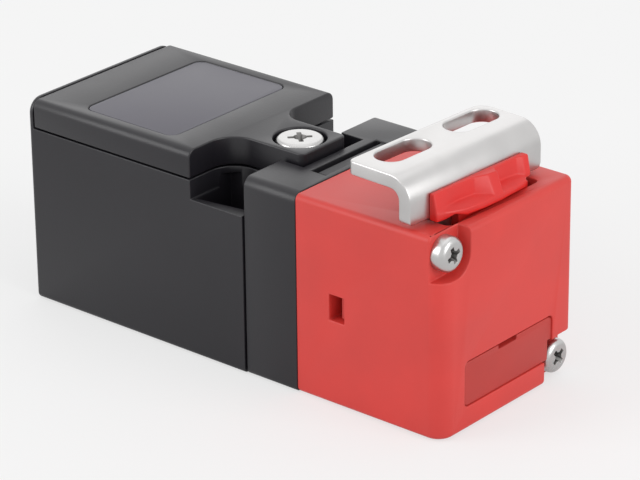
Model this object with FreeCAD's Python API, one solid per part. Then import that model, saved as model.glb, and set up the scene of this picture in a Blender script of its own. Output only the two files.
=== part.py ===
"""Tongue interlock switch with a turnable red head and a separate bent-steel tongue.

Frame: origin in the middle of the bottom face, +X towards the end face of the red head,
+Y across the width, +Z up through the lid. Millimetres.
"""
import FreeCAD, Part
import math
import os

V = FreeCAD.Vector

# ---------------------------------------------------------------- driving sizes
# Outer envelope.
housing_width = 30.0
housing_height = 30.0
body_length = 41.0
collar_length = 9.5
head_length = 25.5

# Lid and lower body.
parting_height = 27.0
seam_gap = 0.25
lid_rise = 1.5
lid_corner_radius = 2.2
lid_roof = 2.2
lid_hollow_wall = 2.6
rim_thickness = 0.9
rim_gap = 0.2
long_edge_radius = 0.7
rear_edge_radius = 0.6
body_wall = 2.5
body_floor = 2.5
cavity_corner_radius = 2.0
front_wall = 2.0
gasket_width = 1.0
gasket_depth = 1.0
gasket_inset = 1.0

# Fixing holes and the pockets over them.
fixing_pitch = 20.0
fixing_hole_radius = 2.15
fixing_setback = 4.5
pocket_radius = 5.2
pocket_floor_height = 25.0

# Front tongue of the lid with its screw.
lid_tongue_reach = 4.0
lid_tongue_corner = 0.8
lid_screw_setback = 0.8
lid_screw_head_radius = 3.6
lid_screw_head_height = 2.2
lid_screw_stand = 0.2
lid_screw_shank_radius = 1.6
lid_screw_length = 5.6
lid_screw_play = 0.3
boss_depth = 6.0

# Blank plate in the lid.
plate_length = 17.0
plate_width = 24.0
plate_rear_margin = 9.0
plate_thickness = 0.3
plate_recess_depth = 0.4
plate_corner_radius = 1.6
plate_play = 0.1

# Cable entry.
cable_bore_radius = 9.3
cable_axis_height = 13.5
cable_boss_radius = 12.0
cable_boss_length = 9.0

# Collar between body and head.
collar_side_inset = 0.2
collar_corner_radius = 2.0
collar_rebate_depth = 0.3
collar_rebate_width = 0.5
collar_recess_half_width = 7.0
collar_recess_play = 0.2
collar_strip_width = 1.8
collar_pocket_length = 2.6
collar_pocket_half_width = 7.2
collar_pocket_depth = 0.8
collar_rear_wall = 5.0
collar_chamber_half_width = 9.9
collar_chamber_margin = 4.5

# Red head.
head_side_inset = 0.3
head_top_drop = 0.1
head_long_radius = 1.5
head_front_vertical_radius = 2.4
head_front_edge_radius = 0.9
head_rear_edge_radius = 0.35
slot_width = 20.0
slot_thickness = 6.9
slot_margin = 2.6
slot_corner_radius = 0.9

# Screws that hold the head.
head_screw_offset = 11.7
head_screw_head_radius = 3.0
head_screw_head_height = 2.3
head_screw_shank_radius = 1.4
head_screw_grip = 6.0
head_screw_play = 0.1
screw_pocket_radius = 3.45
screw_pocket_depth = 2.3
cross_recess_width = 0.9
cross_recess_length = 3.2
cross_recess_depth = 1.2

# Window in the side of the head and the latch nose behind it.
window_width = 2.65
window_height = 3.9
window_centre_setback = 17.25
window_centre_height = 14.45
latch_nose_width = 1.9
latch_nose_height = 3.0
latch_nose_recess = 0.8

# Plug in the unused entry.
plug_play = 0.1
plug_depth = 3.9
plug_sink = 0.15
pry_notch_width = 4.7
pry_notch_height = 0.7
pry_notch_depth = 1.2

# Steel tongue.
steel_thickness = 2.0
tongue_plane_setback = 5.5
bracket_depth = 11.0
bracket_width = 29.0
bracket_height = 37.3
bend_inner_radius = 1.5
bracket_far_corner = 3.5
bracket_near_corner = 1.0
shoulder_clearance = 0.6
shoulder_corner = 1.0
tongue_width = 18.8
tongue_tip_clearance = 0.3
tongue_tip_radius = 1.5
crossbar_height = 2.6
tongue_window_half_width = 4.2
tongue_window_top = 27.0
slot_hole_length = 8.2
slot_hole_radius = 2.2
slot_hole_spacing = 14.2
slot_hole_rear_margin = 3.1

# Red guide moulding clipped to the tongue.
guide_half_width = 9.8
guide_height = 4.1
guide_foot = 3.5
guide_top_depth = 1.3
guide_flange = 1.1
guide_lift = 0.3
guide_keel_depth = 5.0
guide_keel_play = 0.3
guide_keel_left = 6.5
guide_keel_right = 8.2
guide_boss_centre = -0.5
guide_boss_half_width = 1.8
guide_arch_rise = 0.7
guide_arch_radius = 3.0

# Cam and its carrier.
cam_axis_height = 15.0
cam_axis_setback = 15.0
axle_radius = 2.0
axle_play = 0.05
cam_half_width = 3.4
hub_radius = 4.0
lobe_radius = 11.0
lobe_half_angle = 15.0
cam_low_radius = 5.5
cam_base_radius = 6.0
cam_turn = 120.0
lobe_step_angle = 10.0
carrier_plate = 1.4
ear_thickness = 1.8
carrier_play = 0.1
hub_end_play = 0.2

# Plunger, its spring and seal.
plunger_radius = 2.4
plunger_play = 0.1
plunger_travel = 3.0
cam_follow_gap = 0.2
plunger_collar_radius = 4.0
plunger_collar_thickness = 1.0
spring_pocket_radius = 4.2
spring_pocket_depth = 4.0
spring_mean_radius = 3.3
spring_wire = 0.6
spring_turns = 4.0
seal_thickness = 1.4
seal_radius = 4.0
seal_play = 0.05

# Contact block.
block_length = 15.0
block_side_play = 0.3
block_base_height = 9.0
block_end_wall = 1.2
channel_half_width = 7.4
tower_height = 7.5
tower_length = 5.0
tower_end_inset = 0.5
slider_half_width = 2.5
slider_length = 9.8
slider_play = 0.2
slider_front_gap = 0.3
cap_thickness = 2.5
bridge_thickness = 0.5
bridge_half_width = 6.4
bridge_height = 3.0
contact_thickness = 0.8
contact_finger_height = 2.0
contact_inner = 4.0
contact_leg_thickness = 0.5
contact_gap = 0.05
terminal_plate_thickness = 0.8
terminal_screw_head_radius = 2.2
terminal_screw_head_height = 1.5
terminal_screw_shank_radius = 1.25
terminal_screw_length = 5.0

# ---------------------------------------------------------------- derived places
half_width = housing_width / 2.0
device_length = body_length + collar_length + head_length
rear_x = -device_length / 2.0
collar_x = rear_x + body_length
head_x = collar_x + collar_length
front_x = head_x + head_length
lid_bottom = parting_height + seam_gap
lid_top = housing_height + lid_rise
lid_rear_x = rear_x + rim_thickness + rim_gap
fixing_x = collar_x - fixing_setback
fixing_y = fixing_pitch / 2.0
pocket_rear_x = fixing_x - pocket_radius
spine_half_width = fixing_y - pocket_radius
lid_front_x = collar_x + lid_tongue_reach
lid_screw_x = collar_x - lid_screw_setback
cavity_rear_x = rear_x + body_wall
cavity_front_x = pocket_rear_x - front_wall
cavity_half_width = half_width - body_wall
cam_x = front_x - cam_axis_setback
tongue_x = front_x - tongue_plane_setback
tongue_rear_x = tongue_x - steel_thickness / 2.0
tongue_front_x = tongue_x + steel_thickness / 2.0
slot_front_x = front_x - slot_margin
slot_rear_x = slot_front_x - slot_thickness
slot_half_width = slot_width / 2.0
head_floor = slot_margin
head_top = housing_height - head_top_drop
head_ceiling = head_top - slot_margin
collar_chamber_x = collar_x + collar_rear_wall
plunger_tip_x = cam_x - cam_low_radius - cam_follow_gap
block_front_x = cavity_front_x - block_side_play
block_rear_x = block_front_x - block_length
slider_front_x = block_front_x - slider_front_gap
slider_rear_x = slider_front_x - slider_length
channel_floor = body_floor + block_base_height
tower_top = channel_floor + tower_height


# ---------------------------------------------------------------- shape helpers
def box(x0, x1, y0, y1, z0, z1):
    return Part.makeBox(x1 - x0, y1 - y0, z1 - z0, V(x0, y0, z0))


def rod_x(radius, x0, x1, y, z):
    return Part.makeCylinder(radius, x1 - x0, V(x0, y, z), V(1, 0, 0))


def rod_y(radius, y0, y1, x, z):
    return Part.makeCylinder(radius, y1 - y0, V(x, y0, z), V(0, 1, 0))


def rod_z(radius, z0, z1, x, y):
    return Part.makeCylinder(radius, z1 - z0, V(x, y, z0), V(0, 0, 1))


def place(axis, level, u, v):
    """Point of a section drawn across the axis: X takes (y, z), Y takes (x, z), Z takes (x, y)."""
    if axis == "x":
        return V(level, u, v)
    if axis == "y":
        return V(u, level, v)
    return V(u, v, level)


def outline(axis, level, corners):
    """Closed wire through (u, v, radius) corners, each corner rounded by its own radius."""
    count = len(corners)
    starts = []
    ends = []
    middles = []
    for index in range(count):
        u, v, radius = corners[index]
        here = V(u, v, 0)
        before = V(corners[index - 1][0], corners[index - 1][1], 0)
        after = V(corners[(index + 1) % count][0], corners[(index + 1) % count][1], 0)
        back = (before - here).normalize()
        ahead = (after - here).normalize()
        half = math.acos(max(-1.0, min(1.0, back.dot(ahead)))) / 2.0
        reach = radius / math.tan(half)
        inward = (back + ahead).normalize()
        centre = here + inward * (radius / math.sin(half))
        starts.append(here + back * reach)
        ends.append(here + ahead * reach)
        middles.append(centre - inward * radius)
    edges = []
    for index in range(count):
        radius = corners[index][2]
        if radius > 0:
            arc = [place(axis, level, p.x, p.y) for p in (starts[index], middles[index], ends[index])]
            edges.append(Part.Arc(*arc).toShape())
        following = starts[(index + 1) % count]
        if (following - ends[index]).Length > 1e-6:
            line = [place(axis, level, p.x, p.y) for p in (ends[index], following)]
            edges.append(Part.LineSegment(*line).toShape())
    return Part.Wire(edges)


def prism(axis, start, end, corners):
    """Straight solid with the rounded section given by the corners."""
    face = Part.Face(outline(axis, start, corners))
    return face.extrude(place(axis, end - start, 0, 0))


def rectangle(u0, u1, v0, v1, radius):
    return [(u0, v0, radius), (u1, v0, radius), (u1, v1, radius), (u0, v1, radius)]


def fuse(*shapes):
    result = shapes[0]
    for shape in shapes[1:]:
        result = result.fuse(shape)
    return result.removeSplitter()


def cut(shape, *tools):
    result = shape
    for tool in tools:
        result = result.cut(tool)
    return result


def save(name, shape):
    solid = shape.Solids[0] if len(shape.Solids) == 1 else shape
    solid.exportStep(os.path.join("parts", name + ".step"))


def pan_screw(head_radius, head_height, shank_radius, shank_length):
    """Pan-head screw with a cross recess: seat at the origin, head along +Z, shank along -Z."""
    shoulder = head_height * 0.45
    dome = Part.makeCylinder(head_radius, head_height)
    rise = head_height - shoulder
    ball_radius = (head_radius ** 2 + rise ** 2) / (2.0 * rise)
    ball = Part.makeSphere(ball_radius, V(0, 0, head_height - ball_radius))
    head = dome.common(ball)
    shank = Part.makeCylinder(shank_radius, shank_length, V(0, 0, -shank_length))
    depth = head_height - cross_recess_depth
    half_length = min(cross_recess_length, 1.2 * head_radius) / 2.0
    half_slot = cross_recess_width / 2.0
    slot_a = box(-half_length, half_length, -half_slot, half_slot, depth, head_height + 1.0)
    slot_b = box(-half_slot, half_slot, -half_length, half_length, depth, head_height + 1.0)
    return cut(head.fuse(shank), slot_a, slot_b)


# ---------------------------------------------------------------- body housing
def fixing_pockets(radius, z0, z1):
    """Recesses over the two fixing holes, open to the sides and to the front."""
    pockets = []
    for side in (-1, 1):
        inner = side * (fixing_y - radius)
        outer = side * (half_width + 1.0)
        corners = [
            (fixing_x - radius, outer, 0),
            (fixing_x - radius, inner, radius),
            (front_x, inner, 0),
            (front_x, outer, 0),
        ]
        pockets.append(prism("z", z0, z1, corners))
    return pockets


def gasket_ring(z0, z1):
    outer_y = half_width - gasket_inset
    outer_x0 = lid_rear_x + rim_gap
    outer_x1 = pocket_rear_x - (front_wall - gasket_width) / 2.0
    outer = prism("z", z0, z1, rectangle(outer_x0, outer_x1, -outer_y, outer_y, cavity_corner_radius))
    inner_radius = cavity_corner_radius - gasket_width
    x0 = outer_x0 + gasket_width
    x1 = outer_x1 - gasket_width
    y1 = outer_y - gasket_width
    return cut(outer, prism("z", z0, z1, rectangle(x0, x1, -y1, y1, inner_radius)))


def make_body_housing():
    section = [
        (-half_width, 0, long_edge_radius),
        (half_width, 0, long_edge_radius),
        (half_width, lid_top, lid_corner_radius),
        (-half_width, lid_top, lid_corner_radius),
    ]
    block = prism("x", rear_x, collar_x, section)
    plan = [
        (rear_x, -half_width, rear_edge_radius),
        (collar_x, -half_width, 0),
        (collar_x, half_width, 0),
        (rear_x, half_width, rear_edge_radius),
    ]
    side = [
        (rear_x, 0, rear_edge_radius),
        (collar_x, 0, 0),
        (collar_x, lid_top, 0),
        (rear_x, lid_top, rear_edge_radius),
    ]
    block = block.common(prism("z", 0, lid_top, plan))
    block = block.common(prism("y", -half_width, half_width, side))
    above = box(rear_x + rim_thickness, collar_x + 1, -half_width - 1, half_width + 1, parting_height, lid_top + 1)
    block = block.cut(above)
    boss = box(
        collar_x - 1.0, lid_front_x, -spine_half_width, spine_half_width,
        parting_height - boss_depth, parting_height,
    )
    block = fuse(block, boss)
    cavity = prism(
        "z", body_floor, lid_top,
        rectangle(cavity_rear_x, cavity_front_x, -cavity_half_width, cavity_half_width, cavity_corner_radius),
    )
    entry = rod_x(cable_boss_radius, rear_x, rear_x + cable_boss_length, 0, cable_axis_height)
    cavity = cavity.cut(entry)
    block = block.cut(cavity.common(box(rear_x, collar_x, -half_width, half_width, 0, parting_height)))
    cable_bore = rod_x(cable_bore_radius, rear_x - 1, rear_x + cable_boss_length + 1, 0, cable_axis_height)
    plunger_bore = rod_x(
        plunger_radius + plunger_play, cavity_front_x - 1, collar_x + 1, 0, cam_axis_height
    )
    seal_seat = rod_x(seal_radius, collar_x - seal_thickness, collar_x + 1, 0, cam_axis_height)
    screw_hole = rod_z(
        lid_screw_shank_radius, parting_height - lid_screw_length, lid_top, lid_screw_x, 0
    )
    block = cut(block, cable_bore, plunger_bore, seal_seat, screw_hole)
    block = cut(block, *fixing_pockets(pocket_radius, pocket_floor_height, lid_top))
    for side_sign in (-1, 1):
        hole = rod_z(fixing_hole_radius, -1, lid_top, fixing_x, side_sign * fixing_y)
        block = block.cut(hole)
    return block.cut(gasket_ring(parting_height - gasket_depth, parting_height + 1.0))


def make_cover_gasket():
    return gasket_ring(parting_height - gasket_depth, lid_bottom)


# ---------------------------------------------------------------- lid
def make_cover():
    section = [
        (-half_width, lid_bottom, 0),
        (half_width, lid_bottom, 0),
        (half_width, lid_top, lid_corner_radius),
        (-half_width, lid_top, lid_corner_radius),
    ]
    block = prism("x", lid_rear_x, lid_front_x, section)
    plan = [
        (lid_rear_x, -half_width, 0),
        (pocket_rear_x, -half_width, 0),
        (pocket_rear_x, -spine_half_width, pocket_radius),
        (lid_front_x, -spine_half_width, lid_tongue_corner),
        (lid_front_x, spine_half_width, lid_tongue_corner),
        (pocket_rear_x, spine_half_width, pocket_radius),
        (pocket_rear_x, half_width, 0),
        (lid_rear_x, half_width, 0),
    ]
    block = block.common(prism("z", lid_bottom, lid_top, plan))
    hollow = prism(
        "z", lid_bottom, lid_top - lid_roof,
        rectangle(
            lid_rear_x + lid_hollow_wall, pocket_rear_x - lid_hollow_wall,
            -half_width + lid_hollow_wall, half_width - lid_hollow_wall, cavity_corner_radius,
        ),
    )
    seat_height = lid_top + lid_screw_stand - lid_screw_head_height
    counterbore = rod_z(lid_screw_head_radius + lid_screw_play, seat_height, lid_top + 1, lid_screw_x, 0)
    clearance = rod_z(lid_screw_shank_radius + plate_play, lid_bottom - 1, lid_top, lid_screw_x, 0)
    recess = prism("z", lid_top - plate_recess_depth, lid_top + 1, plate_outline(0))
    return cut(block, hollow, counterbore, clearance, recess)


def plate_outline(play):
    x0 = rear_x + plate_rear_margin + play
    x1 = rear_x + plate_rear_margin + plate_length - play
    y1 = plate_width / 2.0 - play
    return rectangle(x0, x1, -y1, y1, plate_corner_radius - play)


def make_label_plate():
    base = lid_top - plate_recess_depth
    return prism("z", base, base + plate_thickness, plate_outline(plate_play))


def make_cover_screw():
    screw = pan_screw(
        lid_screw_head_radius, lid_screw_head_height, lid_screw_shank_radius,
        lid_top + lid_screw_stand - lid_screw_head_height - parting_height + lid_screw_length - 0.4,
    )
    screw.translate(V(lid_screw_x, 0, lid_top + lid_screw_stand - lid_screw_head_height))
    return screw


# ---------------------------------------------------------------- collar
def make_head_collar():
    side = half_width - collar_side_inset
    section = [
        (-side, 0, long_edge_radius),
        (side, 0, long_edge_radius),
        (side, housing_height, collar_corner_radius),
        (-side, housing_height, collar_corner_radius),
    ]
    block = prism("x", collar_x, head_x, section)
    inner = side - collar_rebate_width
    rebate_core = [
        (-inner, collar_rebate_width, long_edge_radius),
        (inner, collar_rebate_width, long_edge_radius),
        (inner, housing_height - collar_rebate_width, collar_corner_radius),
        (-inner, housing_height - collar_rebate_width, collar_corner_radius),
    ]
    rebate = prism("x", collar_x, collar_x + collar_rebate_depth, section)
    rebate = rebate.cut(prism("x", collar_x, collar_x + collar_rebate_depth, rebate_core))
    recess_front = lid_front_x + collar_recess_play
    recess_floor = parting_height - boss_depth - collar_recess_play
    recess = box(
        collar_x - 1, recess_front, -collar_recess_half_width, collar_recess_half_width,
        recess_floor, housing_height + 1,
    )
    pocket_x = recess_front + collar_strip_width
    pocket = box(
        pocket_x, pocket_x + collar_pocket_length, -collar_pocket_half_width, collar_pocket_half_width,
        housing_height - collar_pocket_depth, housing_height + 1,
    )
    chamber = prism(
        "x", collar_chamber_x, head_x,
        rectangle(
            -collar_chamber_half_width, collar_chamber_half_width,
            collar_chamber_margin, housing_height - collar_chamber_margin, cavity_corner_radius,
        ),
    )
    bore = rod_x(plunger_radius + plunger_play, collar_x - 1, head_x, 0, cam_axis_height)
    spring_pocket = rod_x(
        spring_pocket_radius, collar_chamber_x - spring_pocket_depth, collar_chamber_x + 1, 0, cam_axis_height
    )
    block = cut(block, rebate, recess, pocket, chamber, bore, spring_pocket)
    for y, z in head_screw_places():
        block = block.cut(rod_x(head_screw_shank_radius, head_x - head_screw_grip, head_x + 1, y, z))
    return block


# ---------------------------------------------------------------- red head
def head_screw_places():
    """The two screws lie on one diagonal of the end face."""
    middle = housing_height / 2.0
    return [
        (-head_screw_offset, middle + head_screw_offset),
        (head_screw_offset, middle - head_screw_offset),
    ]


def make_head_housing():
    side = half_width - head_side_inset
    section = rectangle(-side, side, 0, head_top, head_long_radius)
    block = prism("x", head_x, front_x, section)
    plan = [
        (head_x, -side, head_rear_edge_radius),
        (front_x, -side, head_front_vertical_radius),
        (front_x, side, head_front_vertical_radius),
        (head_x, side, head_rear_edge_radius),
    ]
    elevation = [
        (head_x, 0, head_rear_edge_radius),
        (front_x, 0, head_front_edge_radius),
        (front_x, head_top, head_front_edge_radius),
        (head_x, head_top, head_rear_edge_radius),
    ]
    block = block.common(prism("z", 0, head_top, plan))
    block = block.common(prism("y", -side, side, elevation))
    chamber = box(head_x - 1, slot_front_x, -slot_half_width, slot_half_width, head_floor, head_ceiling)
    top_entry = prism(
        "z", head_ceiling - 1, head_top + 1,
        rectangle(slot_rear_x, slot_front_x, -slot_half_width, slot_half_width, slot_corner_radius),
    )
    end_entry = prism(
        "x", slot_front_x - 1, front_x + 1,
        rectangle(
            -slot_half_width, slot_half_width, head_floor, head_floor + slot_thickness, slot_corner_radius
        ),
    )
    block = cut(block, chamber, top_entry, end_entry)
    for y, z in head_screw_places():
        outward_y = math.copysign(half_width + 1, y)
        outward_z = z - math.copysign(screw_pocket_radius, z - housing_height / 2.0)
        hole = rod_x(head_screw_shank_radius + head_screw_play, head_x - 1, front_x, y, z)
        seat = rod_x(screw_pocket_radius, front_x - screw_pocket_depth, front_x + 1, y, z)
        open_side = box(
            front_x - screw_pocket_depth, front_x + 1, min(y, outward_y), max(y, outward_y),
            min(z, outward_z), max(z, outward_z),
        )
        beyond = z + math.copysign(screw_pocket_radius - 0.6, z - housing_height / 2.0)
        open_upper = box(
            front_x - screw_pocket_depth, front_x + 1, min(y, outward_y), max(y, outward_y),
            min(z, beyond), max(z, beyond),
        )
        block = cut(block, hole, seat, open_side, open_upper)
    window_x = front_x - window_centre_setback
    for side_sign in (-1, 1):
        near = side_sign * (slot_half_width - 1)
        far = side_sign * (half_width + 1)
        window = box(
            window_x - window_width / 2.0, window_x + window_width / 2.0, min(near, far), max(near, far),
            window_centre_height - window_height / 2.0, window_centre_height + window_height / 2.0,
        )
        block = block.cut(window)
    return block


def make_cam_carrier():
    """Inner frame that carries the cam axle and clips into the side windows of the head."""
    outer = slot_half_width - carrier_play
    x0 = head_x + carrier_play
    ear_x1 = slot_rear_x - carrier_play
    z0 = head_floor + carrier_play
    z1 = head_ceiling - carrier_play
    plate = box(x0, x0 + carrier_plate, -outer, outer, z0, z1)
    pieces = [plate]
    nose_x1 = front_x - window_centre_setback + window_width / 2.0 - carrier_play
    nose_z1 = window_centre_height + window_height / 2.0 - carrier_play
    nose_reach = half_width - head_side_inset - latch_nose_recess
    for side_sign in (-1, 1):
        inner = side_sign * (outer - ear_thickness)
        edge = side_sign * outer
        ear = box(x0, ear_x1, min(inner, edge), max(inner, edge), z0, z1)
        tip = side_sign * nose_reach
        nose = box(
            nose_x1 - latch_nose_width, nose_x1, min(edge, tip), max(edge, tip),
            nose_z1 - latch_nose_height, nose_z1,
        )
        pieces.extend([ear, nose])
    frame = fuse(*pieces)
    bore = rod_x(plunger_radius + plunger_play, x0 - 1, x0 + carrier_plate + 1, 0, cam_axis_height)
    axle = rod_y(axle_radius, -outer, outer, cam_x, cam_axis_height)
    return cut(frame, bore, axle)


def make_cam_axle():
    outer = slot_half_width - carrier_play
    return rod_y(axle_radius, -outer, outer, cam_x, cam_axis_height)


# ---------------------------------------------------------------- cam
def polar(radius, degrees):
    angle = math.radians(degrees)
    return V(cam_x + radius * math.cos(angle), -cam_half_width, cam_axis_height + radius * math.sin(angle))


def arc_between(radius, start, end):
    points = [polar(radius, start), polar(radius, (start + end) / 2.0), polar(radius, end)]
    return Part.Arc(*points).toShape()


def make_cam_rotor():
    """Cam with two driving lobes at right angles and one evenly rising track for the plunger."""
    high_radius = cam_low_radius + plunger_travel
    track_end = 180.0 - cam_turn
    first_flank = lobe_half_angle + lobe_step_angle
    second_start = 270.0 - lobe_half_angle
    second_end = 270.0 + lobe_half_angle
    track = []
    steps = 12
    for index in range(steps + 1):
        share = index / steps
        track.append(polar(high_radius - plunger_travel * share, track_end + cam_turn * share))
    spiral = Part.BSplineCurve()
    spiral.interpolate(track)
    edges = [
        arc_between(lobe_radius, -lobe_half_angle, lobe_half_angle),
        Part.LineSegment(polar(lobe_radius, lobe_half_angle), polar(high_radius, first_flank)).toShape(),
        arc_between(high_radius, first_flank, track_end),
        spiral.toShape(),
        arc_between(cam_low_radius, 180.0, second_start),
        Part.LineSegment(polar(cam_low_radius, second_start), polar(lobe_radius, second_start)).toShape(),
        arc_between(lobe_radius, second_start, second_end),
        Part.LineSegment(polar(lobe_radius, second_end), polar(cam_base_radius, second_end)).toShape(),
        arc_between(cam_base_radius, second_end, 360.0 - lobe_half_angle),
        Part.LineSegment(polar(cam_base_radius, -lobe_half_angle), polar(lobe_radius, -lobe_half_angle)).toShape(),
    ]
    disc = Part.Face(Part.Wire(Part.sortEdges(edges)[0])).extrude(V(0, 2.0 * cam_half_width, 0))
    hub_half = slot_half_width - carrier_play - ear_thickness - hub_end_play
    hub = rod_y(hub_radius, -hub_half, hub_half, cam_x, cam_axis_height)
    bore = rod_y(axle_radius + axle_play, -slot_half_width, slot_half_width, cam_x, cam_axis_height)
    return cut(fuse(disc, hub), bore)


# ---------------------------------------------------------------- plunger
def make_plunger():
    rear = slider_front_x
    ball_x = plunger_tip_x - plunger_radius
    rod = rod_x(plunger_radius, rear, ball_x, 0, cam_axis_height)
    tip = Part.makeSphere(plunger_radius, V(ball_x, 0, cam_axis_height))
    collar_x1 = head_x - collar_rebate_depth
    ring = rod_x(plunger_collar_radius, collar_x1 - plunger_collar_thickness, collar_x1, 0, cam_axis_height)
    return fuse(rod, tip, ring)


def make_plunger_spring():
    """Square-wire coil spring at its pressed-in length, seated on the floor of its pocket."""
    x0 = collar_chamber_x - spring_pocket_depth
    half = spring_wire / 2.0
    pitch = (spring_pocket_depth - spring_wire) / spring_turns
    helix = Part.makeHelix(pitch, pitch * spring_turns, spring_mean_radius)
    inner = spring_mean_radius - half
    outer = spring_mean_radius + half
    wire = outline("y", 0, rectangle(inner, outer, -half, half, 0))
    coil = Part.Wire(helix.Edges).makePipeShell([wire], True, True)
    coil.translate(V(0, 0, half))
    coil.rotate(V(0, 0, 0), V(0, 1, 0), 90)
    coil.translate(V(x0, 0, cam_axis_height))
    return coil


def make_plunger_seal():
    ring = rod_x(seal_radius, collar_x - seal_thickness, collar_x, 0, cam_axis_height)
    return ring.cut(
        rod_x(plunger_radius + seal_play, collar_x - seal_thickness - 1, collar_x + 1, 0, cam_axis_height)
    )


# ---------------------------------------------------------------- screws and plug
def make_head_screw(y, z):
    seat_x = front_x - screw_pocket_depth
    length = seat_x - head_x + head_screw_grip - 0.5
    screw = pan_screw(head_screw_head_radius, head_screw_head_height, head_screw_shank_radius, length)
    screw.rotate(V(0, 0, 0), V(0, 1, 0), 90)
    screw.translate(V(seat_x, y, z))
    return screw


def make_slot_plug():
    y1 = slot_half_width - plug_play
    z0 = head_floor + plug_play
    z1 = head_floor + slot_thickness - plug_play
    x1 = front_x - plug_sink
    plug = prism("x", x1 - plug_depth, x1, rectangle(-y1, y1, z0, z1, slot_corner_radius - plug_play))
    notch = box(
        x1 - pry_notch_depth, x1 + 1, -pry_notch_width / 2.0, pry_notch_width / 2.0,
        z1 - pry_notch_height, z1 + 1,
    )
    lower_y, lower_z = head_screw_places()[1]
    screw_room = rod_x(screw_pocket_radius, front_x - screw_pocket_depth, front_x + 1, lower_y, lower_z)
    return cut(plug, notch, screw_room)


# ---------------------------------------------------------------- steel tongue
def make_actuator_bracket():
    """Bent plate with two slots; its leg narrows to the tongue with a window and a cross-bar."""
    outer_bend = bend_inner_radius + steel_thickness
    rear = tongue_front_x - bracket_depth
    under = bracket_height - steel_thickness
    tip = head_floor + tongue_tip_clearance
    section = [
        (rear, under, 0),
        (tongue_rear_x, under, bend_inner_radius),
        (tongue_rear_x, tip, 0),
        (tongue_front_x, tip, 0),
        (tongue_front_x, bracket_height, outer_bend),
        (rear, bracket_height, 0),
    ]
    half = bracket_width / 2.0
    bent = prism("y", -half, half, section)
    plan = [
        (rear, -half, bracket_near_corner),
        (tongue_front_x, -half, 0),
        (tongue_front_x, half, 0),
        (rear, half, bracket_far_corner),
    ]
    shoulder = housing_height + shoulder_clearance
    tongue = tongue_width / 2.0
    front = [
        (-half, bracket_height, 0),
        (-half, shoulder, shoulder_corner),
        (-tongue, shoulder, 0),
        (-tongue, tip, tongue_tip_radius),
        (tongue, tip, tongue_tip_radius),
        (tongue, shoulder, 0),
        (half, shoulder, shoulder_corner),
        (half, bracket_height, 0),
    ]
    bent = bent.common(prism("z", tip, bracket_height, plan))
    bent = bent.common(prism("x", rear, tongue_front_x, front))
    window = prism(
        "x", tongue_rear_x - 1, tongue_front_x + 1,
        rectangle(
            -tongue_window_half_width, tongue_window_half_width,
            tip + crossbar_height, tongue_window_top, 0.8,
        ),
    )
    bent = bent.cut(window)
    slot_x0 = rear + slot_hole_rear_margin - slot_hole_radius
    slot_x1 = rear + slot_hole_rear_margin + slot_hole_radius
    for side_sign in (-1, 1):
        middle = side_sign * slot_hole_spacing / 2.0
        hole = prism(
            "z", under - 1, bracket_height + 1,
            rectangle(
                slot_x0, slot_x1, middle - slot_hole_length / 2.0, middle + slot_hole_length / 2.0,
                slot_hole_radius * 0.999,
            ),
        )
        bent = bent.cut(hole)
    return bent


def make_guide_block():
    """Moulding clipped through the tongue window, with finger scoops and a keel in the entry slot."""
    base = housing_height + guide_lift
    top = base + guide_height
    foot_x = tongue_front_x + guide_foot
    section = [
        (tongue_front_x, base, 0),
        (foot_x, base, 0),
        (foot_x, base + guide_flange, 0.4),
        (tongue_front_x + guide_top_depth, top, 0.3),
        (tongue_front_x, top, 0),
    ]
    upper = prism("y", -guide_half_width, guide_half_width, section)
    boss_left = guide_boss_centre - guide_boss_half_width
    boss_right = guide_boss_centre + guide_boss_half_width
    flange_top = base + guide_flange
    scoop_floor = tongue_front_x + guide_top_depth
    left_middle = (boss_left - guide_half_width + 1.2) / 2.0
    left_radius = boss_left - left_middle
    right_middle = (boss_right + guide_half_width - 1.6) / 2.0
    right_radius = right_middle - boss_right
    left_scoop = rod_z(left_radius, flange_top, top + 1, scoop_floor + left_radius, left_middle)
    right_scoop = rod_z(right_radius, flange_top, top + 1, scoop_floor + right_radius, right_middle)
    arch_z = base + guide_arch_rise - guide_arch_radius
    arch = rod_x(guide_arch_radius, tongue_front_x - 1, foot_x + 1, left_middle, arch_z)
    upper = cut(upper, left_scoop, right_scoop, arch)
    keel_floor = base - guide_keel_depth
    keel_front = box(
        tongue_front_x, slot_front_x - guide_keel_play, -guide_keel_left, guide_keel_right, keel_floor, base
    )
    keel_x0 = slot_rear_x + guide_keel_play
    keel_rear = prism(
        "z", keel_floor, base,
        [
            (keel_x0, -guide_half_width, slot_corner_radius),
            (tongue_rear_x, -guide_half_width, 0),
            (tongue_rear_x, guide_half_width, 0),
            (keel_x0, guide_half_width, slot_corner_radius),
        ],
    )
    key = box(
        tongue_rear_x, tongue_front_x, -tongue_window_half_width, tongue_window_half_width,
        keel_floor, tongue_window_top - 1.0,
    )
    return fuse(upper.cut(box(front_x - 10, front_x + 5, -15, 15, 0, base)), keel_front, key, keel_rear)


# ---------------------------------------------------------------- contact block
def terminal_rows():
    """Middle of the front row (opens first) and of the rear row (closes) of terminals."""
    front = block_front_x - tower_end_inset - tower_length / 2.0
    rear = block_rear_x + tower_end_inset + tower_length / 2.0
    return front, rear


def bridge_places():
    """Rear faces of the two bridges at rest and the faces of the fixed contacts that they meet."""
    closed = block_front_x - 4.0
    open_bridge = closed - 3.2
    return closed, open_bridge


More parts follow.
